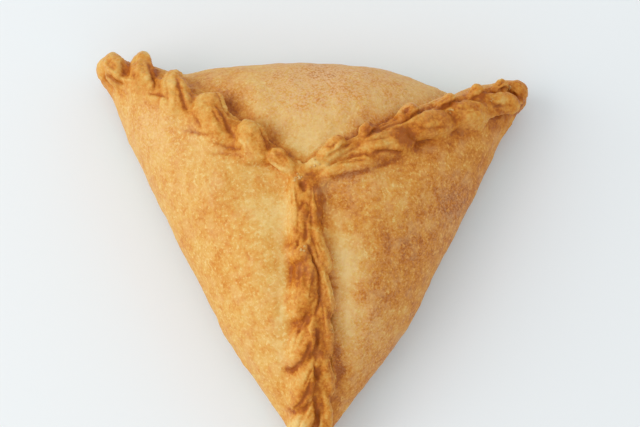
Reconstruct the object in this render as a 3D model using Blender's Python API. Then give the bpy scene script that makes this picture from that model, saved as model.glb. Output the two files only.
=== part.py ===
"""A baked triangular pasty: a pouch of dough shut by three rope-crimped seams that meet on top."""

import math

import bmesh
import bpy
from mathutils import Vector, noise

MM = 0.001

# Each seam runs from the junction on top to a corner: its bearing in plan, its reach to the corner's
# tip, how far its middle bows to its left, and the corner's half width and shift to the left.
SEAMS = {
    "right": {"bearing": 26.7, "reach": 74.6 * MM, "bow": 0.0 * MM, "ear": 5.0 * MM, "shift": 0.8 * MM},
    "left": {"bearing": 145.7, "reach": 72.4 * MM, "bow": 0.5 * MM, "ear": 4.9 * MM, "shift": -0.8 * MM},
    "low": {"bearing": 272.5, "reach": 73.4 * MM, "bow": 2.0 * MM, "ear": 5.0 * MM, "shift": -0.4 * MM},
}

# Each side runs between two corners: how far it swells past the straight line, how far the fullest
# part is moved towards its second corner, and where it is drawn in. A draw has its share of the way
# to the second corner, its depth in millimetres and its spread as a share of the side.
SIDES = (
    {"ends": ("right", "left"), "swell": 1.0 * MM, "skew": 1.0,
     "draws": ((0.10, 4.4, 0.045), (0.17, 4.2, 0.075), (0.27, 1.0, 0.06),
               (0.68, 1.5, 0.09), (0.75, 0.8, 0.05), (0.85, 4.4, 0.09))},
    {"ends": ("left", "low"), "swell": 3.4 * MM, "skew": 1.15,
     "draws": ((0.16, -0.5, 0.08), (0.50, 0.4, 0.12), (0.74, -0.8, 0.10))},
    {"ends": ("low", "right"), "swell": 3.5 * MM, "skew": 0.75,
     "draws": ((0.15, 0.1, 0.10), (0.32, -0.9, 0.12), (0.85, 0.4, 0.10))},
)
SWELL_POWER = 1.2
SIDE_POINTS = 28
EAR_POINTS = 6

# The dough's upper face: the panels stand fuller than the seams between them, and the middle dips,
# though the seams keep some of their height there.
CROWN_HEIGHT = 38.5 * MM
WIDEST_LEVEL = 11.5 * MM
EAR_LEVEL = 7.8 * MM
EAR_LEVEL_POWER = 3
JUNCTION_DIP = 3.4 * MM
JUNCTION_DIP_RADIUS = 15 * MM
RIDGE_DIP_SHARE = 0.5
PANEL_POWERS = (2.5, 0.56)
RIDGE_POWERS = (1.75, 0.78)
RIDGE_HALF_WIDTH = 8.5 * MM
LUMP_SIZE = 26 * MM
LUMP_HEIGHT = 0.9 * MM
FLAT_SHARE = 0.78
TOP_RINGS = 13
TOP_RING_POWER = 1.15
UNDER_RINGS = 4

# The panel in front of the left seam swells up to its rope, and the dough behind the right tip falls
# away: each slope's place and spread across its seam, its rise, and where along the seam it starts,
# is full, fades and ends.
SLOPES = (
    {"seam": "left", "across": 6.5 * MM, "spread": 5.0 * MM, "rise": 1.7 * MM,
     "ends": (6 * MM, 20 * MM, 52 * MM, 66 * MM)},
    {"seam": "right", "across": 6.4 * MM, "spread": 2.7 * MM, "rise": -2.8 * MM,
     "ends": (45 * MM, 53 * MM, 65 * MM, 71 * MM)},
)

# The rope on a seam: a pinched edge that ends in a knob, with rows of folds turned over it.
ROPE_WIDTH = 12.6 * MM
ROPE_SAG = 1.6 * MM
LOWEST_ROPE_BASE = 9.0 * MM
EDGES = {
    "right": {"across": -3.2 * MM, "half_width": 4.9 * MM, "rise": 0.9 * MM},
    "left": {"across": 0.6 * MM, "half_width": 5.6 * MM, "rise": 0.4 * MM},
    "low": {"across": -0.6 * MM, "half_width": 5.0 * MM, "rise": 0.9 * MM},
}
EDGE_HALF_HEIGHT = 3.0 * MM
EDGE_START = -3.0 * MM
EDGE_END_GAP = 3.5 * MM
EDGE_NARROWING = 0.42
EDGE_RINGS = 18
KNOBS = {
    "right": {"along": 70.8 * MM, "across": 0.5 * MM, "radius": 3.9 * MM},
    "left": {"along": 68.7 * MM, "across": -0.9 * MM, "radius": 4.3 * MM},
    "low": {"along": 69.6 * MM, "across": -0.4 * MM, "radius": 4.0 * MM},
}
KNOB_SINK = 1.0 * MM

# Each fold in millimetres: its tail along and across the seam, its head along and across, and its
# half width. A row's height is its folds' half height beside their half width, lean moves their
# crests to the left as seen from the tail, rise lifts the tail and the head in millimetres, bend
# arches the middle, and fullness is the tail's and the head's.
ROWS = (
    {"seam": "right", "height": 0.70, "lean": 0.20, "rise": (0.3, 1.7), "bend": 0.9, "fullness": (0.86, 0.98),
     "folds": ((4.8, -3.2, 21.0, -6.3, 3.6), (16.4, -2.0, 32.2, -4.8, 4.2), (31.6, -0.9, 45.2, -3.7, 4.3),
               (44.6, -1.7, 57.6, -4.8, 4.3), (57.4, -1.2, 68.4, -3.8, 3.5))},
    {"seam": "right", "height": 1.00, "lean": 0.0, "rise": (-0.4, 2.0), "bend": 0.6, "fullness": (0.80, 1.08),
     "folds": ((7.6, 0.6, 14.2, 2.4, 2.9), (19.8, 0.4, 24.2, 2.3, 2.6), (33.2, 1.4, 37.8, 3.5, 3.1),
               (45.4, 1.3, 50.0, 2.5, 2.7), (56.0, 1.6, 59.2, 2.9, 2.4), (64.6, 2.0, 68.2, 3.2, 2.4))},
    {"seam": "left", "height": 0.68, "lean": -0.30, "rise": (0.0, 1.8), "bend": 0.8, "fullness": (0.84, 1.00),
     "folds": ((1.6, 1.2, 9.6, 0.2, 2.2), (11.6, 2.4, 20.8, -2.6, 4.4), (22.5, 3.6, 36.4, -4.2, 5.0))},
    {"seam": "left", "height": 0.84, "lean": -0.35, "rise": (0.0, 2.8), "bend": 0.7, "fullness": (1.36, 0.60),
     "folds": ((38.5, 4.2, 49.4, -7.2, 4.2), (52.4, 3.8, 63.0, -9.6, 3.8), (62.6, 1.7, 71.0, -3.8, 3.2))},
    {"seam": "low", "height": 0.90, "lean": 0.45, "rise": (-0.1, 1.6), "bend": 0.9, "fullness": (0.84, 1.00),
     "folds": ((17.0, -0.6, 25.4, -4.4, 2.8), (22.0, -0.4, 40.4, -4.6, 3.5), (38.0, 0.0, 52.0, -5.6, 3.6),
               (49.0, -0.4, 62.4, -5.4, 3.7), (59.4, -0.7, 71.6, -5.0, 3.6))},
    {"seam": "low", "height": 0.92, "lean": 0.20, "rise": (0.2, 1.0), "bend": 0.8, "fullness": (0.84, 0.92),
     "folds": ((14.6, 0.8, 28.2, 4.6, 2.4), (23.0, 1.6, 39.2, 4.6, 2.3), (34.0, 1.4, 49.6, 4.2, 2.4),
               (45.2, 0.7, 59.2, 4.6, 2.5), (55.0, 0.9, 67.2, 4.2, 2.5), (63.2, 1.2, 72.6, 3.6, 2.3))},
    {"seam": "low", "height": 0.50, "lean": 0.0, "rise": (0.5, 0.9), "bend": 0.3, "fullness": (1.00, 0.95),
     "folds": ((2.8, -1.9, 20.6, -2.6, 3.0), (3.0, 2.3, 20.0, 1.3, 3.1), (0.2, 7.6, 3.2, 2.4, 2.0),
               (30.2, 1.2, 38.2, -0.1, 1.6))},
)
TAIL_OVERRUN = 2.0          # how far a fold runs on past its tail and past its head, in millimetres
HEAD_OVERRUN = 0.8
FOLD_BLUNTNESS = 1.0
FOLD_SIDES = 12
FOLD_RINGS = 8
SPINE_STEP = 0.02

CRUST_COLOUR = (0.66, 0.36, 0.12, 1.0)
CRUST_ROUGHNESS = 0.6
SMOOTH_BELOW = math.radians(50)


def clear_scene():
    for thing in list(bpy.data.objects):
        bpy.data.objects.remove(thing)


def direction(bearing):
    """The plan's unit vector at a bearing, anticlockwise from +X."""
    return Vector((math.cos(math.radians(bearing)), math.sin(math.radians(bearing))))


def left_of(vector):
    return Vector((-vector.y, vector.x))


def ear_centre(name):
    """The centre of the rounded end of one corner."""
    seam = SEAMS[name]
    along = direction(seam["bearing"])
    return along * (seam["reach"] - seam["ear"]) + left_of(along) * seam["shift"]


def side_points(side):
    """The side between two corners: a line that swells in the middle and is drawn in at places."""
    first, second = side["ends"]
    start = ear_centre(first) + left_of(direction(SEAMS[first]["bearing"])) * SEAMS[first]["ear"]
    end = ear_centre(second) - left_of(direction(SEAMS[second]["bearing"])) * SEAMS[second]["ear"]
    outward = -left_of((end - start).normalized())
    points = []
    for i in range(SIDE_POINTS):
        share = 0.5 - 0.5 * math.cos(math.pi * i / (SIDE_POINTS - 1))
        offset = side["swell"] * math.sin(math.pi * share ** side["skew"]) ** SWELL_POWER
        for place, depth, spread in side["draws"]:
            offset -= depth * MM * math.exp(-(((share - place) / spread) ** 2))
        points.append(start.lerp(end, share) + outward * offset)
    return points


def ear_points(name):
    """The rounded end of one corner, between the sides that meet there."""
    along = direction(SEAMS[name]["bearing"])
    points = []
    for i in range(1, EAR_POINTS):
        turn = math.pi * (i / EAR_POINTS - 0.5)
        spoke = along * math.cos(turn) + left_of(along) * math.sin(turn)
        points.append(ear_centre(name) + spoke * SEAMS[name]["ear"])
    return points


def outline():
    """The pasty's outline from above at its widest level, anticlockwise, from the right corner."""
    points = []
    for side in SIDES:
        points += ear_points(side["ends"][0])
        points += side_points(side)
    return points


def fall(share, powers):
    """From 1 at the junction to 0 at the outline, where it ends upright."""
    return max(0.0, 1 - share ** powers[0]) ** powers[1]


def seam_offset(seam, along):
    """How far the bowed seam lies to the left of its straight line."""
    share = min(1.0, max(0.0, along / seam["reach"]))
    return seam["bow"] * math.sin(math.pi * share)


def seam_place(seam, point):
    """How far a plan point lies along a seam from the junction, and across it to its left."""
    along_line = direction(seam["bearing"])
    along = point.dot(along_line)
    return along, point.dot(left_of(along_line)) - seam_offset(seam, along)


def seam_closeness(point):
    """1 on a seam's line, falling to 0 beside it."""
    nearest = math.inf
    for seam in SEAMS.values():
        along, across = seam_place(seam, point)
        nearest = min(nearest, math.hypot(across, min(0.0, along)))
    return math.exp(-((nearest / RIDGE_HALF_WIDTH) ** 2))


def smooth_step(low, high, value):
    """From 0 at low to 1 at high, level at both."""
    share = min(1.0, max(0.0, (value - low) / (high - low)))
    return share * share * (3 - 2 * share)


def slope_height(point):
    """How much the slopes beside the seams raise or lower the dough at a plan point."""
    height = 0.0
    for slope in SLOPES:
        along, across = seam_place(SEAMS[slope["seam"]], point)
        start, full, fading, end = slope["ends"]
        length_share = smooth_step(start, full, along) * (1 - smooth_step(fading, end, along))
        width_share = math.exp(-(((across - slope["across"]) / slope["spread"]) ** 2))
        height += slope["rise"] * length_share * width_share
    return height


def top_height(point, share, level):
    """Height of the dough's upper face at a plan point, at this share of the way to the outline."""
    panel = fall(share, PANEL_POWERS)
    ridge = fall(share, RIDGE_POWERS)
    near = seam_closeness(point)
    height = level + (CROWN_HEIGHT - level) * (panel + (ridge - panel) * near)
    dip = JUNCTION_DIP * math.exp(-((point.length / JUNCTION_DIP_RADIUS) ** 2))
    lump = noise.noise(Vector((point.x, point.y, 0)) / LUMP_SIZE) * LUMP_HEIGHT
    return height - dip * (1 - (1 - RIDGE_DIP_SHARE) * near) + lump * panel + slope_height(point)


def edge_level(point):
    """Height of the widest line: lower at the corners than along the sides."""
    farthest = max(seam["reach"] for seam in SEAMS.values())
    share = min(1.0, point.length / farthest)
    return WIDEST_LEVEL + (EAR_LEVEL - WIDEST_LEVEL) * share**EAR_LEVEL_POWER


def dough_body():
    """The pouch: rings of the outline drawn in to the junction above, and to a flat base below."""
    rim = outline()
    mesh = bmesh.new()
    middle = Vector((0, 0))
    crown = mesh.verts.new((0, 0, top_height(middle, 0, WIDEST_LEVEL)))
    rings = []
    for k in range(1, TOP_RINGS + 1):
        share = math.sin(0.5 * math.pi * k / TOP_RINGS) ** TOP_RING_POWER
        ring = []
        for edge in rim:
            point = edge * share
            ring.append(mesh.verts.new((point.x, point.y, top_height(point, share, edge_level(edge)))))
        rings.append(ring)
    for k in range(1, UNDER_RINGS + 1):
        turn = 0.5 * math.pi * k / UNDER_RINGS
        share = FLAT_SHARE + (1 - FLAT_SHARE) * math.cos(turn)
        ring = []
        for edge in rim:
            point = edge * share
            ring.append(mesh.verts.new((point.x, point.y, edge_level(edge) * (1 - math.sin(turn)))))
        rings.append(ring)
    count = len(rim)
    for i in range(count):
        mesh.faces.new((crown, rings[0][i], rings[0][(i + 1) % count]))
    for inner, outer in zip(rings, rings[1:]):
        for i in range(count):
            j = (i + 1) % count
            mesh.faces.new((inner[i], outer[i], outer[j], inner[j]))
    mesh.faces.new(reversed(rings[-1]))
    return mesh


def rope_base(seam, along):
    """Height of the dough under a rope, which levels off towards the corner."""
    share = min(1.0, abs(along) / seam["reach"])
    point = direction(seam["bearing"]) * along
    return max(LOWEST_ROPE_BASE, top_height(point, share, EAR_LEVEL))


def seam_point(seam, along, across, above):
    """A point by a seam: along it from the junction, across to its left, and above the dough there."""
    along_line = direction(seam["bearing"])
    plan = along_line * along + left_of(along_line) * (across + seam_offset(seam, along))
    sag = ROPE_SAG * (2 * across / ROPE_WIDTH) ** 2
    return Vector((plan.x, plan.y, rope_base(seam, along) - sag + above))


def mix(ends, share):
    return ends[0] + (ends[1] - ends[0]) * share


def bent_ball(mesh, spine, half_sizes, rings, fullness, lean=0.0, bluntness=0.0):
    """A roll of dough along a spine: a stretched ball, whose fullness goes from one end's to the other's.

    Its crest leans to its left, and bluntness fills its two ends out.
    """
    half_width, half_height = half_sizes
    ball = bmesh.ops.create_uvsphere(mesh, u_segments=FOLD_SIDES, v_segments=rings, radius=1)
    for vertex in ball["verts"]:
        share = (vertex.co.z + 1) / 2
        along = (spine(min(1, share + SPINE_STEP)) - spine(max(0, share - SPINE_STEP))).normalized()
        leftward = Vector((0, 0, 1)).cross(along).normalized()
        upward = along.cross(leftward)
        full = mix(fullness, share) * math.sqrt(1 + bluntness * vertex.co.z**2)
        aside = half_width * full * (vertex.co.x + lean * vertex.co.y)
        vertex.co = spine(share) + leftward * aside + upward * (half_height * full * vertex.co.y)


def fold(row, shape):
    """One fold of the rope, from its tail up to its head."""
    tail_along, tail_across, head_along, head_across, half_width = shape
    length = math.hypot(head_along - tail_along, head_across - tail_across)
    ends = (-TAIL_OVERRUN / length, 1 + HEAD_OVERRUN / length)

    def spine(share):
        at = mix(ends, share)
        above = mix(row["rise"], share) + row["bend"] * math.sin(math.pi * share)
        along = mix((tail_along, head_along), at)
        across = mix((tail_across, head_across), at)
        return seam_point(SEAMS[row["seam"]], along * MM, across * MM, above * MM)

    mesh = bmesh.new()
    half_sizes = (half_width * MM, half_width * MM * row["height"])
    bent_ball(mesh, spine, half_sizes, FOLD_RINGS, row["fullness"], row["lean"], FOLD_BLUNTNESS)
    return mesh


def pinched_edge(name):
    """The edge that the folds are turned over, narrower where it starts at the junction."""
    seam = SEAMS[name]
    edge = EDGES[name]

    def spine(share):
        along = EDGE_START + share * (seam["reach"] - EDGE_START - EDGE_END_GAP)
        return seam_point(seam, along, edge["across"] * share, edge["rise"])

    mesh = bmesh.new()
    half_sizes = (edge["half_width"], EDGE_HALF_HEIGHT)
    bent_ball(mesh, spine, half_sizes, EDGE_RINGS, (1 - EDGE_NARROWING, 1))
    return mesh


def corner_knob(name):
    """The turned-over end of the rope at a corner's tip."""
    knob = KNOBS[name]
    mesh = bmesh.new()
    radius = knob["radius"]
    ball = bmesh.ops.create_uvsphere(mesh, u_segments=FOLD_SIDES, v_segments=FOLD_RINGS, radius=radius)
    centre = seam_point(SEAMS[name], knob["along"], knob["across"], -KNOB_SINK)
    bmesh.ops.translate(mesh, vec=centre, verts=ball["verts"])
    return mesh


def new_object(name, mesh):
    bmesh.ops.recalc_face_normals(mesh, faces=mesh.faces)
    data = bpy.data.meshes.new(name)
    mesh.to_mesh(data)
    mesh.free()
    return bpy.data.objects.new(name, data)


def ropes():
    """Every seam's pinched edge, knob and rows of folds."""
    made = []
    for name in SEAMS:
        made.append(new_object(f"{name}_edge", pinched_edge(name)))
        made.append(new_object(f"{name}_knob", corner_knob(name)))
    for row in ROWS:
        for shape in row["folds"]:
            made.append(new_object(f"{row['seam']}_fold_{len(made)}", fold(row, shape)))
    return made


def crust_material():
    material = bpy.data.materials.new("baked_crust")
    material.use_nodes = True
    shader = material.node_tree.nodes["Principled BSDF"]
    shader.inputs["Base Color"].default_value = CRUST_COLOUR
    shader.inputs["Roughness"].default_value = CRUST_ROUGHNESS
    shader.inputs["Metallic"].default_value = 0.0
    return material


def join_by_boolean(body, pieces):
    group = bpy.data.collections.new("ropes")
    bpy.context.scene.collection.children.link(group)
    for piece in pieces:
        group.objects.link(piece)
    union = body.modifiers.new("join_ropes", "BOOLEAN")
    union.operation = "UNION"
    union.operand_type = "COLLECTION"
    union.collection = group
    union.solver = "EXACT"
    bpy.context.view_layer.update()
    graph = bpy.context.evaluated_depsgraph_get()
    joined = bpy.data.meshes.new_from_object(body.evaluated_get(graph))
    body.modifiers.clear()
    body.data = joined
    for piece in pieces:
        bpy.data.objects.remove(piece)
    bpy.data.collections.remove(group)


def fill_pockets(body):
    """Keeps the outer skin alone, so that no pocket of air stays shut in between the folds."""
    mesh = bmesh.new()
    mesh.from_mesh(body.data)
    seen = set()
    skins = []
    for start in mesh.verts:
        if start in seen:
            continue
        seen.add(start)
        skin = []
        reached = [start]
        while reached:
            vertex = reached.pop()
            skin.append(vertex)
            for edge in vertex.link_edges:
                other = edge.other_vert(vertex)
                if other not in seen:
                    seen.add(other)
                    reached.append(other)
        skins.append(skin)
    outer = max(skins, key=len)
    inner = [vertex for skin in skins if skin is not outer for vertex in skin]
    bmesh.ops.delete(mesh, geom=inner, context="VERTS")
    mesh.to_mesh(body.data)
    mesh.free()


def centre_on_base(body):
    """Puts the middle of the box, on the table, at the origin."""
    corners = [vertex.co for vertex in body.data.vertices]
    low = Vector([min(corner[axis] for corner in corners) for axis in range(3)])
    high = Vector([max(corner[axis] for corner in corners) for axis in range(3)])
    shift = Vector(((low.x + high.x) / 2, (low.y + high.y) / 2, low.z))
    for vertex in body.data.vertices:
        vertex.co -= shift


def build():
    clear_scene()
    body = new_object("pasty", dough_body())
    bpy.context.scene.collection.objects.link(body)
    join_by_boolean(body, ropes())
    fill_pockets(body)
    centre_on_base(body)
    body.data.materials.clear()
    body.data.materials.append(crust_material())
    body.data.shade_smooth()
    body.data.set_sharp_from_angle(angle=SMOOTH_BELOW)


build()
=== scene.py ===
import math

import bmesh
import bpy
import numpy as np
from mathutils import Matrix, Vector, noise
from mathutils.bvhtree import BVHTree


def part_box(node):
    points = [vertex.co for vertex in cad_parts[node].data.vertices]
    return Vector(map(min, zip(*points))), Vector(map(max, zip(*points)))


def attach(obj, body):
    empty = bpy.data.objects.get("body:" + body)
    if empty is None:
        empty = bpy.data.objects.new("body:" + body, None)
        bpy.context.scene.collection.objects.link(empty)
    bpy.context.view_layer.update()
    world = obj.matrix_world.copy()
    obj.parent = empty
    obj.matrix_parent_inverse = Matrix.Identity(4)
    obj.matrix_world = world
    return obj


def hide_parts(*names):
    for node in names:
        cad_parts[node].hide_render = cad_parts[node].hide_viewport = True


print("loading the packed pasty")
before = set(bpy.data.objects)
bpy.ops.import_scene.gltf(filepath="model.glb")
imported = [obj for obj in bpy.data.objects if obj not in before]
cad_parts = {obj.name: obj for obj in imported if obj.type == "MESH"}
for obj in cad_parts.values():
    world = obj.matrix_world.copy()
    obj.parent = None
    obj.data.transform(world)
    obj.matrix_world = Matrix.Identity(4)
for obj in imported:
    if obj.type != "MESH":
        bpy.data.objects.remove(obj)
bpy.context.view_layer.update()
mm = 0.001

# Seams run from the junction on top to the corners: bearing in plan, reach to the tip, how far the
# middle bows to the left, and the corner's half width and shift to the left.
seams = {
    "right": {"bearing": 26.7, "reach": 74.6 * mm, "bow": 0.0 * mm, "ear": 5.0 * mm, "shift": 0.8 * mm},
    "left": {"bearing": 145.7, "reach": 72.4 * mm, "bow": 0.5 * mm, "ear": 4.9 * mm, "shift": -0.8 * mm},
    "low": {"bearing": 272.5, "reach": 73.4 * mm, "bow": 2.0 * mm, "ear": 5.0 * mm, "shift": -0.4 * mm},
}

dough = {
    # each side's swell, how far its fullest part is moved on, and where it is drawn in: the share of its
    # length, the depth in mm (a negative one swells) and the spread
    "sides": (
        {"ends": ("right", "left"), "swell": 1.0 * mm, "skew": 1.0,
         "draws": ((0.10, 4.4, 0.045), (0.17, 4.2, 0.075), (0.27, 1.0, 0.06), (0.75, 0.8, 0.05),
                   (0.68, 1.5, 0.09), (0.85, 4.4, 0.09))},
        {"ends": ("left", "low"), "swell": 3.4 * mm, "skew": 1.15,
         "draws": ((0.16, -0.5, 0.08), (0.50, 0.4, 0.12), (0.74, -0.8, 0.10))},
        {"ends": ("low", "right"), "swell": 3.5 * mm, "skew": 0.75,
         "draws": ((0.15, 0.1, 0.10), (0.32, -0.9, 0.12), (0.85, 0.4, 0.10))},
    ),
    "swellPower": 1.2,
    "sidePoints": 72,
    "earPoints": 18,
    "crownHeight": 38.5 * mm,
    "widestLevel": 11.5 * mm,   # how high the pouch is at its widest: along its sides, and at its corners
    "earLevel": 7.8 * mm,
    "earPower": 3,
    "dip": 3.4 * mm,            # how far the middle sinks, and the share of it that the seams take back
    "dipLift": 0.5,
    "dipRadius": 15 * mm,
    "panelPowers": (2.5, 0.56), # how roundly the top falls to the rim, on the panels and along the seams
    "ridgePowers": (1.75, 0.78),
    "ridgeHalfWidth": 8.5 * mm,
    "lumpSize": 26 * mm,
    "lumpHeight": 0.9 * mm,
    # the panel in front of the left seam swells up to its rope, and the dough behind the right tip
    # falls away: place across, spread, rise, and the ends along
    "slopes": (
        {"seam": "left", "across": 6.5 * mm, "spread": 5.0 * mm, "rise": 1.7 * mm,
         "ends": (6 * mm, 20 * mm, 52 * mm, 66 * mm)},
        {"seam": "right", "across": 6.4 * mm, "spread": 2.7 * mm, "rise": -2.8 * mm,
         "ends": (45 * mm, 53 * mm, 65 * mm, 71 * mm)},
    ),
    "flatShare": 0.78,          # of the outline's size, for the flat base
    "topRings": 44,
    "ringPower": 1.15,
    "underRings": 14,
    "voxel": 0.36 * mm,
}

rope = {
    "width": 12.6 * mm,
    "sag": 1.6 * mm,            # how far its sides lie below its middle
    "lowestBase": 9.0 * mm,
    "edges": {
        "right": {"across": -3.2 * mm, "halfWidth": 4.9 * mm, "rise": 0.9 * mm},
        "left": {"across": 0.6 * mm, "halfWidth": 5.6 * mm, "rise": 0.4 * mm},
        "low": {"across": -0.6 * mm, "halfWidth": 5.0 * mm, "rise": 0.9 * mm},
    },
    "edgeHalfHeight": 3.0 * mm,
    "edgeStart": -3.0 * mm,
    "edgeEndGap": 3.5 * mm,
    "edgeNarrowing": 0.42,
    "edgePoints": 60,
    "edgeSides": 20,
    "edgeTip": 0.02,            # the least square of an edge's width at its two ends, as a share
    "knobs": {
        "right": {"along": 70.8 * mm, "across": 0.5 * mm, "radius": 3.9 * mm},
        "left": {"along": 68.7 * mm, "across": -0.9 * mm, "radius": 4.3 * mm},
        "low": {"along": 69.6 * mm, "across": -0.4 * mm, "radius": 4.0 * mm},
    },
    "knobSubdivisions": 3,
    "knobSink": 1.0 * mm,
    "foldSides": 28,
    "foldRings": 24,
    "unevenness": 0.60 * mm,
    "unevenSize": 5.0 * mm,
    "unevenDetail": 2.0,
    "seed": 5,
}

# Rows of folds. Each fold in millimetres: its tail along and across the seam, its head along and
# across, and its half width. A row's height is its folds' share of that width, and lean moves their
# crests to the left as seen from the tail. They rise from the tail to the head, with a bend between
# that lifts their middles. Fullness is how thick the tail and the head are.
foldRows = (
    {"seam": "right", "height": 0.70, "lean": 0.20, "rise": (0.3, 1.7), "bend": 0.9, "fullness": (0.86, 0.98),
     "folds": (
         (4.8, -3.2, 21.0, -6.3, 3.6), (16.4, -2.0, 32.2, -4.8, 4.2), (31.6, -0.9, 45.2, -3.7, 4.3),
         (44.6, -1.7, 57.6, -4.8, 4.3), (57.4, -1.2, 68.4, -3.8, 3.5))},
    {"seam": "right", "height": 1.00, "lean": 0.0, "rise": (-0.4, 2.0), "bend": 0.6, "fullness": (0.80, 1.08),
     "folds": (
         (7.6, 0.6, 14.2, 2.4, 2.9), (19.8, 0.4, 24.2, 2.3, 2.6), (33.2, 1.4, 37.8, 3.5, 3.1),
         (45.4, 1.3, 50.0, 2.5, 2.7), (56.0, 1.6, 59.2, 2.9, 2.4), (64.6, 2.0, 68.2, 3.2, 2.4))},
    {"seam": "left", "height": 0.68, "lean": -0.3, "rise": (0.0, 1.8), "bend": 0.8, "fullness": (0.84, 1.00),
     "folds": (
         (1.6, 1.2, 9.6, 0.2, 2.2), (11.6, 2.4, 20.8, -2.6, 4.4), (22.5, 3.6, 36.4, -4.2, 5.0))},
    {"seam": "left", "height": 0.84, "lean": -0.35, "rise": (0.0, 2.8), "bend": 0.7, "fullness": (1.36, 0.60),
     "folds": (
         (38.5, 4.2, 49.4, -7.2, 4.2), (52.4, 3.8, 63.0, -9.6, 3.8), (62.6, 1.7, 71.0, -3.8, 3.2))},
    {"seam": "low", "height": 0.90, "lean": 0.45, "rise": (-0.1, 1.6), "bend": 0.9, "fullness": (0.84, 1.00),
     "folds": (
         (17.0, -0.6, 25.4, -4.4, 2.8), (22.0, -0.4, 40.4, -4.6, 3.5), (38.0, 0.0, 52.0, -5.6, 3.6),
         (49.0, -0.4, 62.4, -5.4, 3.7), (59.4, -0.7, 71.6, -5.0, 3.6))},
    {"seam": "low", "height": 0.92, "lean": 0.2, "rise": (0.2, 1.0), "bend": 0.8, "fullness": (0.84, 0.92),
     "folds": (
         (14.6, 0.8, 28.2, 4.6, 2.4), (23.0, 1.6, 39.2, 4.6, 2.3), (34.0, 1.4, 49.6, 4.2, 2.4),
         (45.2, 0.7, 59.2, 4.6, 2.5), (55.0, 0.9, 67.2, 4.2, 2.5), (63.2, 1.2, 72.6, 3.6, 2.3))},
    {"seam": "low", "height": 0.50, "lean": 0.0, "rise": (0.5, 0.9), "bend": 0.3, "fullness": (1.00, 0.95),
     "folds": (
         (2.8, -1.9, 20.6, -2.6, 3.0), (3.0, 2.3, 20.0, 1.3, 3.1), (0.2, 7.6, 3.2, 2.4, 2.0),
         (30.2, 1.2, 38.2, -0.1, 1.6))},
)
foldOverrun = (2.0, 0.8)    # how far a fold's tail and head run on, in millimetres


def smoothStep(low, high, value):
    share = np.clip((value - low) / (high - low), 0.0, 1.0)
    return share * share * (3 - 2 * share)


def window(value, ends):
    start, full, fading, end = ends
    return smoothStep(start, full, value) * (1 - smoothStep(fading, end, value))


def direction(bearing):
    return Vector((math.cos(math.radians(bearing)), math.sin(math.radians(bearing))))


def leftOf(vector):
    return Vector((-vector.y, vector.x))


def earCentre(name):
    seam = seams[name]
    along = direction(seam["bearing"])
    return along * (seam["reach"] - seam["ear"]) + leftOf(along) * seam["shift"]


def sidePoints(side):
    first, second = side["ends"]
    start = earCentre(first) + leftOf(direction(seams[first]["bearing"])) * seams[first]["ear"]
    end = earCentre(second) - leftOf(direction(seams[second]["bearing"])) * seams[second]["ear"]
    outward = -leftOf((end - start).normalized())
    points = []
    for i in range(dough["sidePoints"]):
        share = 0.5 - 0.5 * math.cos(math.pi * i / (dough["sidePoints"] - 1))
        offset = side["swell"] * max(0.0, math.sin(math.pi * share ** side["skew"])) ** dough["swellPower"]
        for place, depth, spread in side["draws"]:
            offset -= depth * mm * math.exp(-(((share - place) / spread) ** 2))
        points.append(start.lerp(end, share) + outward * offset)
    return points


def earPoints(name):
    along = direction(seams[name]["bearing"])
    points = []
    for i in range(1, dough["earPoints"]):
        turn = math.pi * (i / dough["earPoints"] - 0.5)
        spoke = along * math.cos(turn) + leftOf(along) * math.sin(turn)
        points.append(earCentre(name) + spoke * seams[name]["ear"])
    return points


def outline():
    points = []
    for side in dough["sides"]:
        points += earPoints(side["ends"][0])
        points += sidePoints(side)
    return points


def fall(share, powers):
    return max(0.0, 1 - share ** powers[0]) ** powers[1]


def seamOffset(seam, along):
    share = min(1.0, max(0.0, along / seam["reach"]))
    return seam["bow"] * math.sin(math.pi * share)


def seamPlace(seam, point):
    line = direction(seam["bearing"])
    along = point.dot(line)
    return along, point.dot(leftOf(line)) - seamOffset(seam, along)


def seamCloseness(point):
    nearest = math.inf
    for seam in seams.values():
        along, across = seamPlace(seam, point)
        nearest = min(nearest, math.hypot(across, min(0.0, along)))
    return math.exp(-((nearest / dough["ridgeHalfWidth"]) ** 2))


def slopeHeight(point):
    height = 0.0
    for slope in dough["slopes"]:
        along, across = seamPlace(seams[slope["seam"]], point)
        beside = math.exp(-(((across - slope["across"]) / slope["spread"]) ** 2))
        height += slope["rise"] * beside * float(window(along, slope["ends"]))
    return height


def topHeight(point, share, level):
    panel = fall(share, dough["panelPowers"])
    ridge = fall(share, dough["ridgePowers"])
    near = seamCloseness(point)
    height = level + (dough["crownHeight"] - level) * (panel + (ridge - panel) * near)
    dip = dough["dip"] * math.exp(-((point.length / dough["dipRadius"]) ** 2))
    lump = noise.noise(Vector((point.x, point.y, 0)) / dough["lumpSize"]) * dough["lumpHeight"]
    return height - dip * (1 - dough["dipLift"] * near) + lump * panel + slopeHeight(point)


def edgeLevel(point):
    farthest = max(seam["reach"] for seam in seams.values())
    share = min(1.0, point.length / farthest) ** dough["earPower"]
    return dough["widestLevel"] + (dough["earLevel"] - dough["widestLevel"]) * share


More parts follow.
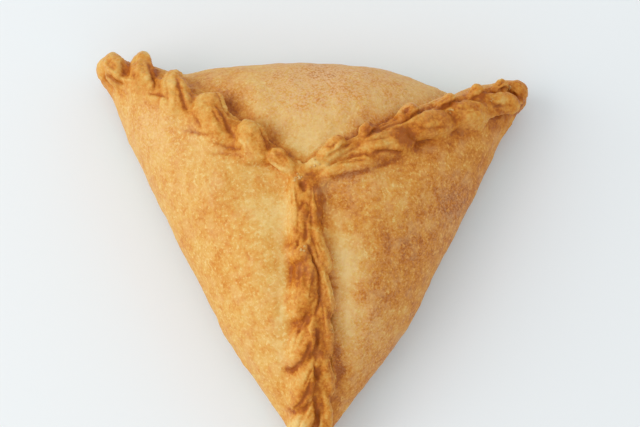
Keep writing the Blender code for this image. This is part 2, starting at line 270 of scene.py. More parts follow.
def doughMesh():
    rim = outline()
    mesh = bmesh.new()
    crown = mesh.verts.new((0, 0, topHeight(Vector((0, 0)), 0, dough["widestLevel"])))
    rings = []
    for k in range(1, dough["topRings"] + 1):
        share = math.sin(0.5 * math.pi * k / dough["topRings"]) ** dough["ringPower"]
        ring = []
        for edge in rim:
            point = edge * share
            ring.append(mesh.verts.new((point.x, point.y, topHeight(point, share, edgeLevel(edge)))))
        rings.append(ring)
    for k in range(1, dough["underRings"] + 1):
        turn = 0.5 * math.pi * k / dough["underRings"]
        share = dough["flatShare"] + (1 - dough["flatShare"]) * math.cos(turn)
        ring = []
        for edge in rim:
            point = edge * share
            ring.append(mesh.verts.new((point.x, point.y, edgeLevel(edge) * (1 - math.sin(turn)))))
        rings.append(ring)
    count = len(rim)
    for i in range(count):
        mesh.faces.new((crown, rings[0][i], rings[0][(i + 1) % count]))
    for inner, outer in zip(rings, rings[1:]):
        for i in range(count):
            j = (i + 1) % count
            mesh.faces.new((inner[i], outer[i], outer[j], inner[j]))
    mesh.faces.new(reversed(rings[-1]))
    bmesh.ops.recalc_face_normals(mesh, faces=mesh.faces)
    return toMesh("dough", mesh)


def toMesh(name, mesh):
    data = bpy.data.meshes.new(name)
    mesh.to_mesh(data)
    mesh.free()
    return data


def ropeBase(seam, along):
    share = min(1.0, abs(along) / seam["reach"])
    point = direction(seam["bearing"]) * along
    return max(rope["lowestBase"], topHeight(point, share, dough["earLevel"]))


def seamPoint(seam, along, across, above):
    alongLine = direction(seam["bearing"])
    plan = alongLine * along + leftOf(alongLine) * (across + seamOffset(seam, along))
    sag = rope["sag"] * (2 * across / rope["width"]) ** 2
    return Vector((plan.x, plan.y, ropeBase(seam, along) - sag + above))


def foldSpine(row, fold, share):
    tailAlong, tailAcross, headAlong, headAcross = fold[:4]
    length = math.hypot(headAlong - tailAlong, headAcross - tailAcross)
    start, end = -foldOverrun[0] / length, 1 + foldOverrun[1] / length
    at = start + (end - start) * share
    low, high = row["rise"]
    rise = low + (high - low) * share + row["bend"] * math.sin(math.pi * share)
    along = tailAlong + (headAlong - tailAlong) * at
    across = tailAcross + (headAcross - tailAcross) * at
    return seamPoint(seams[row["seam"]], along * mm, across * mm, rise * mm)


# Small helpers for the node trees that the script builds. A node's inputs are named by label or place,
# and each is a value or another node's socket.
def feedNode(tree, node, inputs):
    for label, value in inputs.items():
        if isinstance(value, bpy.types.NodeSocket):
            tree.links.new(value, node.inputs[label])
        else:
            node.inputs[label].default_value = value


def addNode(tree, kind, inputs=None, **settings):
    node = tree.nodes.new(kind)
    for key, value in settings.items():
        setattr(node, key, value)
    feedNode(tree, node, inputs or {})
    return node


def mathNode(tree, operation, *values, clamp=False):
    node = addNode(tree, "ShaderNodeMath", dict(enumerate(values)), operation=operation, use_clamp=clamp)
    return node.outputs[0]


def spanNode(tree, value, low, high, start=0.0, end=1.0):
    inputs = {"Value": value, "From Min": low, "From Max": high, "To Min": start, "To Max": end}
    return addNode(tree, "ShaderNodeMapRange", inputs, interpolation_type="SMOOTHSTEP").outputs[0]


def mixNode(tree, share, first, second):
    colours = [(*colour, 1.0) if isinstance(colour, tuple) else colour for colour in (first, second)]
    inputs = {"Factor": share, "A": colours[0], "B": colours[1]}
    return addNode(tree, "ShaderNodeMix", inputs, data_type="RGBA").outputs["Result"]


def noiseNode(tree, place, size, detail, roughness, seed):
    inputs = {"Vector": place, "Scale": 1 / size, "Detail": detail, "Roughness": roughness, "W": seed}
    return addNode(tree, "ShaderNodeTexNoise", inputs, noise_dimensions="4D").outputs["Fac"]


def attributeNode(tree, label):
    return addNode(tree, "ShaderNodeAttribute", attribute_name=label).outputs["Fac"]


def storedNode(tree, label, kind="FLOAT"):
    node = addNode(tree, "GeometryNodeInputNamedAttribute", {"Name": label}, data_type=kind)
    return node.outputs["Attribute"]


def partsNode(tree):
    place = addNode(tree, "GeometryNodeInputPosition").outputs[0]
    return addNode(tree, "ShaderNodeSeparateXYZ", {0: place}).outputs


# A noise about zero, a move of a shape's points one way, and a copy of a shape on every point.
def fieldNode(tree, size, inputs, **settings):
    inputs["Scale"] = mathNode(tree, "DIVIDE", 1.0, size)
    return addNode(tree, "ShaderNodeTexNoise", inputs, normalize=False, **settings).outputs


def pushNode(tree, geometry, way, amount):
    offset = addNode(tree, "ShaderNodeVectorMath", {0: way, "Scale": amount}, operation="SCALE")
    moved = addNode(tree, "GeometryNodeSetPosition", {"Geometry": geometry, "Offset": offset.outputs[0]})
    return moved.outputs["Geometry"]


def copiesNode(tree, given, shape, turn, size):
    points = addNode(tree, "GeometryNodeMeshToPoints", {"Mesh": given["Geometry"]})
    copies = addNode(tree, "GeometryNodeInstanceOnPoints", {
        "Points": points.outputs["Points"], "Instance": shape, "Rotation": turn, "Scale": size})
    real = addNode(tree, "GeometryNodeRealizeInstances", {"Geometry": copies.outputs["Instances"]})
    return real.outputs["Geometry"]


def newTree(name, counts, sizes):
    tree = bpy.data.node_groups.new(name, "GeometryNodeTree")
    addSocket = tree.interface.new_socket
    addSocket("Geometry", in_out="OUTPUT", socket_type="NodeSocketGeometry")
    addSocket("Geometry", in_out="INPUT", socket_type="NodeSocketGeometry")
    addSocket("Material", in_out="INPUT", socket_type="NodeSocketMaterial")
    for label in counts:
        addSocket(label, in_out="INPUT", socket_type="NodeSocketInt")
    for label in sizes:
        addSocket(label, in_out="INPUT", socket_type="NodeSocketFloat")
    return tree, addNode(tree, "NodeGroupInput").outputs


def endTree(tree, given, geometry):
    real = addNode(tree, "GeometryNodeRealizeInstances", {"Geometry": geometry})
    coat = addNode(tree, "GeometryNodeSetMaterial", {
        "Geometry": real.outputs["Geometry"], "Material": given["Material"]})
    addNode(tree, "NodeGroupOutput", {"Geometry": coat.outputs["Geometry"]})
    return tree


def useTree(thing, tree, values):
    modifier = thing.modifiers.new(tree.name, "NODES")
    modifier.node_group = tree
    for item in tree.interface.items_tree:
        if item.item_type == "SOCKET" and item.in_out == "INPUT" and item.name in values:
            modifier[item.identifier] = values[item.name]


def newObject(name, data):
    made = bpy.data.objects.new(name, data)
    bpy.context.scene.collection.objects.link(made)
    return made


def plainMesh(thing, name):
    bpy.context.view_layer.update()
    graph = bpy.context.evaluated_depsgraph_get()
    data = bpy.data.meshes.new_from_object(thing.evaluated_get(graph))
    data.name = name
    thing.modifiers.clear()
    thing.data = data


def newMaterial(name):
    material = bpy.data.materials.new(name)
    material.use_nodes = True
    tree = material.node_tree
    place = addNode(tree, "ShaderNodeTexCoord").outputs["Object"]
    return material, tree, tree.nodes["Principled BSDF"], place


# A fold is a ball drawn out along its axis: blunt at both ends, arched, and leaning to one side.
def foldTree():
    tree, given = newTree("ropeFolds", ("Sides", "Rings"), (
        "Tail fullness", "Head fullness", "Arch", "Lean", "Unevenness", "Uneven size", "Uneven detail",
        "Seed"))
    ball = addNode(tree, "GeometryNodeMeshUVSphere", {
        "Radius": 1.0, "Segments": given["Sides"], "Rings": given["Rings"]})
    parts = partsNode(tree)
    full = addNode(tree, "ShaderNodeMapRange", {
        "Value": parts["Z"], "From Min": -1.0, "From Max": 1.0,
        "To Min": given["Tail fullness"], "To Max": given["Head fullness"]}).outputs[0]
    square = mathNode(tree, "MULTIPLY", parts["Z"], parts["Z"])
    root = mathNode(tree, "SQRT", mathNode(tree, "ADD", square, 1.0))
    blunt = mathNode(tree, "MULTIPLY", full, root)
    wide = mathNode(tree, "MULTIPLY", parts["X"], blunt)
    tall = mathNode(tree, "MULTIPLY", parts["Y"], blunt)
    leaning = mathNode(tree, "MULTIPLY_ADD", tall, given["Lean"], wide)
    arched = mathNode(tree, "MULTIPLY_ADD", mathNode(tree, "SUBTRACT", 1.0, square), given["Arch"], tall)
    shaped = addNode(tree, "ShaderNodeCombineXYZ", {"X": leaning, "Y": arched, "Z": parts["Z"]})
    fold = addNode(tree, "GeometryNodeSetPosition", {
        "Geometry": ball.outputs["Mesh"], "Position": shaped.outputs[0]})
    axis, upward, size = (storedNode(tree, f"fold{what}", "FLOAT_VECTOR") for what in ("Axis", "Up", "Size"))
    turn = addNode(tree, "FunctionNodeAxesToRotation", {0: axis, 1: upward},
                   primary_axis="Z", secondary_axis="Y")
    folds = copiesNode(tree, given, fold.outputs["Geometry"], turn.outputs["Rotation"], size)
    uneven = fieldNode(tree, given["Uneven size"], {"Detail": given["Uneven detail"], "W": given["Seed"]},
                       noise_dimensions="4D")["Color"]
    return endTree(tree, given, pushNode(tree, folds, uneven, given["Unevenness"]))


def addFolds(tree, row, index):
    places, axes, ups, sizes, arches = [], [], [], [], []
    for fold in row["folds"]:
        start, middle, end = (foldSpine(row, fold, share) for share in (0.0, 0.5, 1.0))
        axis = (end - start).normalized()
        sideways = axis.cross(Vector((0, 0, 1))).normalized()
        upward = sideways.cross(axis)
        halfWidth = fold[4] * mm
        places.append((start + end) / 2)
        axes.append(axis)
        ups.append(upward)
        sizes.append(Vector((halfWidth, halfWidth * row["height"], (end - start).length / 2)))
        arches.append((middle - places[-1]).dot(upward) / (halfWidth * row["height"]))
    data = bpy.data.meshes.new(f"foldPoints{index}")
    data.from_pydata([tuple(place) for place in places], [], [])
    for label, ways in (("foldAxis", axes), ("foldUp", ups), ("foldSize", sizes)):
        attribute = data.attributes.new(label, "FLOAT_VECTOR", "POINT")
        attribute.data.foreach_set("vector", np.array(ways, dtype=np.float32).ravel())
    folds = newObject(f"folds{index}", data)
    useTree(folds, tree, {
        "Sides": rope["foldSides"], "Rings": rope["foldRings"],
        "Tail fullness": row["fullness"][0], "Head fullness": row["fullness"][1],
        "Arch": sum(arches) / len(arches), "Lean": row["lean"], "Unevenness": rope["unevenness"],
        "Uneven size": rope["unevenSize"], "Uneven detail": rope["unevenDetail"],
        "Seed": float(rope["seed"] + index)})
    plainMesh(folds, f"folds{index}")
    return folds


def edgeTree():
    tree, given = newTree("pinchedEdge", ("Sides",), ("Flatness",))
    line = addNode(tree, "GeometryNodeMeshToCurve", {"Mesh": given["Geometry"]})
    upright = addNode(tree, "GeometryNodeSetCurveNormal", {"Curve": line.outputs["Curve"]}, mode="Z_UP")
    width = storedNode(tree, "edgeWidth")
    thick = addNode(tree, "GeometryNodeSetCurveRadius", {"Curve": upright.outputs["Curve"], "Radius": width})
    hoop = addNode(tree, "GeometryNodeCurvePrimitiveCircle", {"Radius": 1.0, "Resolution": given["Sides"]})
    flatten = addNode(tree, "ShaderNodeCombineXYZ", {"X": 1.0, "Y": given["Flatness"], "Z": 1.0})
    profile = addNode(tree, "GeometryNodeTransform", {
        "Geometry": hoop.outputs["Curve"], "Scale": flatten.outputs[0]})
    body = addNode(tree, "GeometryNodeCurveToMesh", {
        "Curve": thick.outputs["Curve"], "Profile Curve": profile.outputs["Geometry"], "Scale": width,
        "Fill Caps": True})
    return endTree(tree, given, body.outputs["Mesh"])


def addEdge(tree, name):
    seam, edge = seams[name], rope["edges"][name]
    count = rope["edgePoints"]
    points, widths = [], []
    for i in range(count):
        share = i / (count - 1)
        along = rope["edgeStart"] + share * (seam["reach"] - rope["edgeStart"] - rope["edgeEndGap"])
        points.append(tuple(seamPoint(seam, along, edge["across"] * share, edge["rise"])))
        fullness = 1 - rope["edgeNarrowing"] * (1 - share)
        width = math.sqrt(max(rope["edgeTip"], 1 - (2 * share - 1) ** 2))
        widths.append(edge["halfWidth"] * fullness * width)
    data = bpy.data.meshes.new(f"edgeLine_{name}")
    data.from_pydata(points, [(i, i + 1) for i in range(count - 1)], [])
    data.attributes.new("edgeWidth", "FLOAT", "POINT").data.foreach_set("value", widths)
    made = newObject(f"edge_{name}", data)
    useTree(made, tree, {"Sides": rope["edgeSides"], "Flatness": rope["edgeHalfHeight"] / edge["halfWidth"]})
    plainMesh(made, f"edge_{name}")
    return made


def addKnob(name):
    knob = rope["knobs"][name]
    mesh = bmesh.new()
    centre = Matrix.Translation(seamPoint(seams[name], knob["along"], knob["across"], -rope["knobSink"]))
    bmesh.ops.create_icosphere(
        mesh, subdivisions=rope["knobSubdivisions"], radius=knob["radius"], matrix=centre)
    return newObject(f"knob_{name}", toMesh(f"knob_{name}", mesh))


def joinMeshes(name, things):
    mesh = bmesh.new()
    for thing in things:
        mesh.from_mesh(thing.data)
        bpy.data.objects.remove(thing)
    return newObject(name, toMesh(name, mesh))


def vectors(collection, label):
    flat = np.empty(len(collection) * 3, dtype=np.float32)
    collection.foreach_get(label, flat)
    return flat.reshape(-1, 3).astype(np.float64)


def coordinates(data):
    return vectors(data.vertices, "co")


def normals(data):
    return vectors(data.vertex_normals, "vector")


def setCoordinates(data, places):
    data.vertices.foreach_set("co", places.astype(np.float32).ravel())
    data.update()


def edgePairs(data):
    flat = np.empty(len(data.edges) * 2, dtype=np.int32)
    data.edges.foreach_get("vertices", flat)
    return flat.reshape(-1, 2)


def soften(places, pairs, weights, rounds):
    count = len(places)
    degree = np.bincount(pairs.ravel(), minlength=count)[:, None]
    for _ in range(rounds):
        total = np.empty_like(places)
        for axis in range(places.shape[1]):
            total[:, axis] = (np.bincount(pairs[:, 0], places[pairs[:, 1], axis], count)
                              + np.bincount(pairs[:, 1], places[pairs[:, 0], axis], count))
        places = places + (total / degree - places) * weights[:, None]
    return places


# Every point's place by a seam: along it from the junction, and across to its left.
def seamPlaces(name, places):
    seam = seams[name]
    line = np.array(direction(seam["bearing"]))
    along = places[:, :2] @ line
    across = places[:, :2] @ np.array((-line[1], line[0]))
    share = np.clip(along / seam["reach"], 0.0, 1.0)
    return along, across - seam["bow"] * np.sin(np.pi * share)


# What a line drawn beside a seam does to the dough round it.
touch = {
    "power": 1.5,               # how squarely its sides fall away
    "tips": 0.3,                # its strength at its two ends
    "gain": 4,                  # how fast it grows from there
}


# How near each point is to such a line: 1 on it and 0 away from it, less at its ends.
def lineNearness(along, across, line, width):
    corners = np.array(line) * mm
    nearest = np.full(len(along), np.inf)
    lengths = np.hypot(*(corners[1:] - corners[:-1]).T)
    total, passed = lengths.sum(), 0.0
    taper = np.zeros(len(along))
    for start, end, length in zip(corners, corners[1:], lengths):
        step = (end - start) / length
        at = np.clip((along - start[0]) * step[0] + (across - start[1]) * step[1], 0.0, length)
        gap = np.hypot(along - start[0] - step[0] * at, across - start[1] - step[1] * at)
        share = (passed + at) / total
        closer = gap < nearest
        nearest = np.where(closer, gap, nearest)
        ends = np.minimum(1.0, np.minimum(share, 1 - share) * touch["gain"] + touch["tips"])
        taper = np.where(closer, ends, taper)
        passed += length
    return np.exp(-((nearest / width) ** touch["power"])) * taper


def roundSpot(aside, beyond, radius):
    return np.exp(-((np.hypot(aside, beyond) / radius) ** 2))


# The rows of a table that is kept seam by seam, each with its seam's name in front.
def marks(table):
    return [(name, *row) for name, rows in table.items() for row in rows]


# Creases, strands and wrinkles pressed into the dough once it is one body. Each has its depth (a
# strand's is negative) and half width, and the corners of its line along and across its seam, all in
# millimetres.
creases = {
    "low": (
        (1.1, 0.42, ((21.4, -0.6), (22.0, -0.1), (25.0, 0.7), (28.2, 1.8), (31.3, 2.2),
                     (35.0, 2.1), (37.5, 1.6), (40.0, 0.4))),
        (0.35, 0.70, ((26.0, -0.4), (28.6, -1.7), (31.7, -1.9), (33.8, -0.7))),
        (0.3, 0.40, ((39.0, -0.1), (41.5, -1.3), (43.5, -3.2), (44.7, -5.7))),
        (0.5, 0.45, ((46.2, -0.6), (49.2, -1.4), (51.9, -3.0), (53.3, -5.8), (52.9, -8.5))),
        (0.5, 0.45, ((55.8, -0.5), (59.2, -1.5), (62.2, -3.1), (63.8, -5.8))),
        (1.0, 0.38, ((43.2, 0.8), (45.7, 1.1), (48.2, 0.9))),
        (1.1, 0.40, ((52.8, 0.0), (54.8, 0.8), (56.8, 1.3))),
        (1.1, 0.45, ((60.8, 0.1), (63.3, 1.0), (65.8, 1.4), (69.0, 1.4))),
        (0.5, 0.38, ((9.2, 0.2), (10.2, 0.8), (12.3, 0.8), (14.6, 0.1))),
        (0.35, 0.38, ((9.3, 0.1), (10.4, -0.9), (11.9, -1.6))),
        (0.8, 0.55, ((3.6, -0.1), (5.2, 0.3), (6.4, 0.3))),
        (0.6, 0.45, ((15.1, -0.4), (17.9, -0.5), (20.6, -1.2))),
        (-0.4, 0.40, ((40.5, -0.2), (44.1, -0.9), (47.4, -0.4), (51.7, -0.5))),
        (-0.4, 0.40, ((59.8, 0.4), (62.5, -0.4), (64.7, -1.1))),
        (-0.5, 0.40, ((48.9, 4.6), (52.5, 5.2), (55.5, 5.8), (58.0, 5.8))),
    ),
    "left": (
        (1.3, 0.55, ((67.8, 2.4), (63.9, 3.1), (60.5, 2.8))),
        (-0.7, 0.60, ((71.7, -1.2), (66.7, 1.1), (62.2, 1.7), (57.0, 1.3))),
        (0.9, 0.80, ((65.4, -3.4), (61.4, 0.2))),
        (0.8, 0.55, ((57.6, -6.4), (54.3, -3.6), (50.8, -0.8), (49.8, 1.4))),
        (0.7, 0.60, ((45.9, -5.3), (42.3, -2.0), (39.2, 0.3), (36.2, 2.4))),
        (0.6, 0.50, ((30.5, -3.3), (26.1, -1.5), (23.0, 1.0), (20.6, 2.4))),
        (0.35, 0.45, ((30.4, -1.2), (27.2, 0.3), (24.6, 1.6))),
        (0.6, 0.55, ((15.3, -4.0), (12.9, -2.4), (10.3, 0.0))),
        (0.3, 0.50, ((9.4, 1.6), (7.8, 2.3), (5.3, 1.9), (2.6, 1.1))),
        (0.5, 0.38, ((51.0, 2.6), (47.5, 1.5), (43.9, 1.9))),
        (0.6, 0.38, ((34.1, 2.3), (31.8, 3.6), (30.2, 4.4))),
        (0.4, 0.45, ((34.9, 6.6), (30.9, 5.9), (27.8, 5.2), (26.1, 4.3))),
        (0.3, 0.55, ((24.3, 9.2), (20.9, 7.2), (17.3, 5.7))),
        (0.4, 0.45, ((24.4, 5.7), (21.0, 5.2), (17.2, 3.9), (17.4, 2.2))),
        (0.3, 0.50, ((13.7, 6.6), (10.7, 4.7), (8.1, 2.6))),
        (-0.4, 0.45, ((26.0, -1.8), (23.2, -2.7), (20.3, -4.4))), (-0.4, 0.45, ((10.1, -0.3), (6.2, -1.8))),
    ),
    "right": (
        (0.45, 0.40, ((7.4, -0.8), (11.5, -0.2), (14.4, 0.2), (17.2, 1.0))),
        (0.6, 0.38, ((20.0, 0.2), (22.6, 0.6), (25.4, 1.6))),
        (1.2, 0.45, ((31.6, 0.4), (34.6, 0.8), (38.6, 1.6), (40.4, 3.0))),
        (1.2, 0.45, ((43.4, 0.9), (47.4, 0.8), (51.0, 1.4), (52.0, 2.8))),
        (0.55, 0.42, ((6.4, -2.6), (12.0, -1.8), (17.6, -1.1))),
        (0.36, 0.50, ((4.5, -5.0), (9.4, -6.8), (15.4, -8.2), (22.2, -8.4), (27.6, -8.3))),
        (0.6, 0.40, ((9.2, -1.9), (13.2, -2.6), (17.8, -3.8), (19.6, -5.7))),
        (0.7, 0.42, ((20.2, -4.6), (23.5, -5.4), (26.4, -6.5), (28.2, -7.5))),
        (0.5, 0.40, ((24.0, 0.9), (29.3, 1.4), (33.9, 0.4))),
        (0.5, 0.50, ((35.0, -2.2), (38.3, -4.4), (43.5, -5.2))),
        (0.7, 0.42, ((54.0, 0.9), (57.6, 0.7), (60.6, 1.5), (61.4, 2.6))),
        (0.8, 0.42, ((64.6, 1.0), (67.6, 1.1), (69.2, -0.6), (70.1, -2.6))),
        (0.35, 0.40, ((8.6, -3.1), (10.9, -3.3), (13.7, -3.2), (16.1, -2.0))),
        (-0.4, 0.50, ((20.3, -3.0), (22.6, -3.6), (27.4, -4.2))),
        (0.3, 0.50, ((31.6, -4.8), (32.3, -3.8), (33.3, -1.3))),
        (-0.4, 0.40, ((19.6, -0.6), (25.8, -0.8), (30.5, 0.0), (34.9, -0.2))),
        (0.35, 0.50, ((46.3, -0.6), (47.1, -3.1), (46.7, -5.0))),
        (0.3, 0.45, ((59.8, -0.3), (60.4, -2.7), (62.1, -3.8), (67.3, -4.9))),
    ),
}

# Hollows of the panels beside the ropes: the place along and across the seam, the radius and the depth.
hollows = {
    "left": ((28.4, -7.0, 5.0, 1.4), (12.5, -6.0, 4.0, 1.1), (44.0, -8.0, 4.5, 0.6)),
    "low": ((33.0, 8.4, 4.0, 0.6), (45.0, 8.2, 3.5, 0.6), (53.5, 8.0, 3.0, 1.1), (61.0, 7.6, 3.0, 0.7)),
    "right": ((26.0, -11.0, 5.0, 0.6), (60.5, -10.0, 4.0, 0.5)),
}

# Fine lines that the dough's stretching leaves on every fold, at random places along it and across it.
strands = {
    "each": 3,
    "depths": (0.08, 0.34),     # in millimetres
    "halfWidth": 0.34,
    "starts": (0.00, 0.40),     # shares of the fold's length
    "stops": (0.55, 1.00),
    "aside": 0.62,              # shares of the fold's half width
    "slant": 0.35,
    "deeper": {"right": 1.8, "left": 0.8, "low": 1.0},
    "bow": 0.22,
    "seed": 21,
}

finish = {
    "softRounds": 15,
    "softShare": 0.16,          # how far each round draws a point to its neighbours
    # more rounds smooth the bands beside the ropes: where they start, are full, fade and end, in mm
    "bandRounds": 130,
    "bands": (
        {"seam": "left", "share": 0.80, "across": (2.6, 5.2, 9.5, 14.0), "along": (3, 10, 62, 69)},
        {"seam": "right", "share": 0.55, "across": (-13.0, -10.5, -7.6, -5.6), "along": (3, 10, 60, 66)},
        {"seam": "low", "share": 0.45, "across": (-7.0, -5.8, -3.8, -2.4), "along": (-1, 3, 16, 21)},
        {"seam": "low", "share": 0.25, "across": (4.8, 6.0, 7.8, 9.2), "along": (20, 26, 64, 70)},
        {"seam": "low", "share": 0.45, "across": (2.6, 4.0, 6.0, 7.2), "along": (-1, 3, 15, 20)},
        {"seam": "low", "share": 0.30, "across": (-10.0, -8.4, -7.2, -5.8), "along": (8, 14, 66, 72)},
    ),
    "fullFacing": 0.3,          # skin that faces up this much takes a crease in full, and upright skin none
    "mostTriangles": 190000,
}


def fuseDough(thing):
    remesh = thing.modifiers.new("fuse", "REMESH")
    remesh.mode = "VOXEL"
    remesh.voxel_size = dough["voxel"]
    plainMesh(thing, thing.name)
    places = coordinates(thing.data)
    smoothed = np.zeros(len(places))
    for band in finish["bands"]:
        along, across = seamPlaces(band["seam"], places)
        beside = window(across, np.array(band["across"]) * mm) * window(along, np.array(band["along"]) * mm)
        smoothed = np.maximum(smoothed, band["share"] * beside)
    pairs = edgePairs(thing.data)
    places = soften(places, pairs, np.full(len(places), finish["softShare"]), finish["softRounds"])
    places = soften(places, pairs, smoothed, finish["bandRounds"])
    setCoordinates(thing.data, places)


def strandLines():
    draw = np.random.default_rng(strands["seed"])
    lines = []
    for row in foldRows:
        for fold in row["folds"]:
            tail, head = np.array(fold[:2]), np.array(fold[2:4])
            ahead = head - tail
            aside = np.array((-ahead[1], ahead[0])) / np.linalg.norm(ahead) * fold[4]
            for _ in range(strands["each"]):
                start, stop = draw.uniform(*strands["starts"]), draw.uniform(*strands["stops"])
                first = draw.uniform(-strands["aside"], strands["aside"])
                last = first + draw.uniform(-strands["slant"], strands["slant"])
                middle = (first + last) / 2 + draw.uniform(-strands["bow"], strands["bow"])
                corners = ((start, first), ((start + stop) / 2, middle), (stop, last))
                line = [tail + ahead * share + aside * offset for share, offset in corners]
                depth = draw.uniform(*strands["depths"]) * strands["deeper"][row["seam"]]
                lines.append((row["seam"], depth, strands["halfWidth"], line))
    return lines


def pressCreases(thing):
    places, facing = coordinates(thing.data), normals(thing.data)
    by = {name: seamPlaces(name, places) for name in seams}
    push = np.zeros(len(places))
    for name, depth, width, line in [*marks(creases), *strandLines()]:
        push -= depth * mm * lineNearness(*by[name], line, width * mm)
    for name, hollowAlong, hollowAcross, radius, depth in marks(hollows):
        along, across = by[name]
        push -= depth * mm * roundSpot(along - hollowAlong * mm, across - hollowAcross * mm, radius * mm)
    push *= smoothStep(0.0, finish["fullFacing"], facing[:, 2])
    setCoordinates(thing.data, places + facing * push[:, None])


def triangleCount(data):
    return sum(len(face.vertices) - 2 for face in data.polygons)


def thinTriangles(thing):
    before = triangleCount(thing.data)
    if before > finish["mostTriangles"]:
        fewer = thing.modifiers.new("fewer", "DECIMATE")
        fewer.ratio = finish["mostTriangles"] / before
        plainMesh(thing, thing.name)
    print("triangles before and after", before, triangleCount(thing.data))


# Folds that meet can shut in a pocket of air, whose skin is a mesh of its own inside the dough.
def fillPockets(thing):
    mesh = bmesh.new()
    mesh.from_mesh(thing.data)
    unseen, skins = set(mesh.verts), []
    while unseen:
        reached = {unseen.pop()}
        skin = set(reached)
        while reached:
            reached = {edge.other_vert(vertex) for vertex in reached for edge in vertex.link_edges} - skin
            skin |= reached
            unseen -= reached
        skins.append(skin)
    skins.sort(key=len)
    pockets = [vertex for skin in skins[:-1] for vertex in skin]
    bmesh.ops.delete(mesh, geom=pockets, context="VERTS")
    mesh.to_mesh(thing.data)
    mesh.free()
    print("pockets of air filled", len(skins) - 1)


print("shaping the dough and its ropes")
foldNodes, edgeNodes = foldTree(), edgeTree()
parts = [newObject("dough", doughMesh())]
parts += [addEdge(edgeNodes, name) for name in seams]
parts += [addKnob(name) for name in seams]
parts += [addFolds(foldNodes, row, index) for index, row in enumerate(foldRows)]
pasty = joinMeshes("pastyCrust", parts)
fuseDough(pasty)
pressCreases(pasty)
thinTriangles(pasty)
fillPockets(pasty)

# The junction of the seams is the shaping's own origin, so the finished mesh is moved to the CAD box.
places = coordinates(pasty.data)
low, high = places.min(axis=0), places.max(axis=0)
cadLow, cadHigh = (np.array(corner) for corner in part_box("pasty"))
junction = np.array(((cadLow[0] + cadHigh[0] - low[0] - high[0]) / 2,
                     (cadLow[1] + cadHigh[1] - low[1] - high[1]) / 2, cadLow[2] - low[2]))
print("visual size", (high - low) * 1000, "cad size", (cadHigh - cadLow) * 1000, "junction", junction * 1000)
setCoordinates(pasty.data, places + junction)


# How brown the oven has left the crust, with painted shade and painted light laid on it: each panel by the
# seams it lies between, the ropes, the underside, and patches with their plan place from the junction, radius
# and change, in millimetres; some of the browner patches are painted shade in the hollows behind the left
# rope. Creases are darker, with painted shade and some deeper browning, and flour is paler.
baking = {
    "panels": {("low", "right"): 0.73, ("right", "left"): 0.44, ("left", "low"): 0.50},
    "panelBlend": 5.0 * mm,
    "ropes": {
        "left": {"level": 0.66, "centre": -2.2 * mm, "halfWidth": 6.8 * mm, "flank": 0.20, "start": 0.50},
        "right": {"level": 0.82, "centre": -2.0 * mm, "halfWidth": 6.2 * mm, "flank": -0.06, "start": 0.66},
        "low": {"level": 0.71, "centre": -0.2 * mm, "halfWidth": 5.4 * mm, "flank": 0.20, "start": 0.66},
    },
    "ropeGrown": 30 * mm,       # from here on a rope has its full width
    "ropeBegin": (-4 * mm, 2 * mm),
    "ropeBlend": 1.3 * mm,
    "flank": (0.75, -0.66),     # painted shade, with some real browning: the ropes' sides that face this way, away from the key light, are darker, and the others paler with painted light
    "litSidePale": 0.10,
    "valleyPale": 0.04,
    "valleyGap": 2 * mm,
    "valleyReach": 6.0 * mm,
    "valleyEnds": (0 * mm, 6 * mm, 35 * mm, 60 * mm),
    # darker by this much round a spot just past each fold's head
    "headDarker": 0.06,
    "headGap": 0.6,             # of a fold's half width, from its head
    "headRadius": 2.4 * mm,
    "underside": 0.86,
    "undersideFacing": (-0.7, -0.05),
    "patches": (
        (-24.7, 29.1, 9, 0.22), (-21.1, 21.9, 5, 0.22), (-7.4, 10.1, 4, 0.18), (2.7, 9.4, 9, -0.20),
        (-2.8, 5.0, 4, -0.18), (31.5, 29.4, 12, 0.10), (8.4, 33.7, 14, 0.22), (-6.9, -14.3, 5, -0.05),
        (-21.9, -0.9, 6, -0.04), (-14.7, -16.9, 5, 0.12), (-19.0, -23.3, 6, 0.06), (-12.7, -44.9, 9, 0.02),
        (-34.5, -12.5, 7, 0.02), (-10.6, -12.0, 6, -0.22), (12.4, -25.8, 6, -0.14), (9.0, 5.5, 4, -0.16),
        (20.7, -6.8, 7, -0.08), (20.8, -30.6, 6, 0.10), (26.4, -15.5, 8, 0.05), (44.4, -3.2, 8, 0.20),
        (39.6, 10.4, 8, 0.02), (13.0, -3.5, 6, 0.02), (26.5, 4.0, 6, -0.04), (4.0, 32.0, 10, 0.06),
    ),
    "flour": 0.03,
    "flourPatches": (
        (8.4, 33.7, 20, 0.95), (12.4, -25.8, 7, 0.35), (12.0, -38.6, 6, 0.22), (19.5, -44.2, 12, 0.40),
        (33.6, -15.6, 14, 0.20), (-12.7, -44.9, 10, 0.10), (31.5, 29.4, 12, 0.35), (-4.0, 24.0, 12, 0.30),
        (14.0, -2.0, 8, 0.25), (-30.0, -8.0, 12, 0.10), (22.0, -26.0, 10, 0.06), (-42.0, 8.0, 14, 0.25),
        (-44.0, 19.0, 9, 0.40), (44.5, -4.0, 8, 0.30), (-26.0, 27.0, 8, 0.30),
    ),
    "flourOffRopes": 0.8,
    "creaseWidth": (0.1, 0.7),  # millimetres, and the share of the crease's own half width
    "fullCrease": 1.4,          # millimetres deep, where a crease's painted shade is darkest
    "cavityRounds": 30,
    "cavityStep": 0.5,
    "cavityDepth": 0.35 * mm,
}
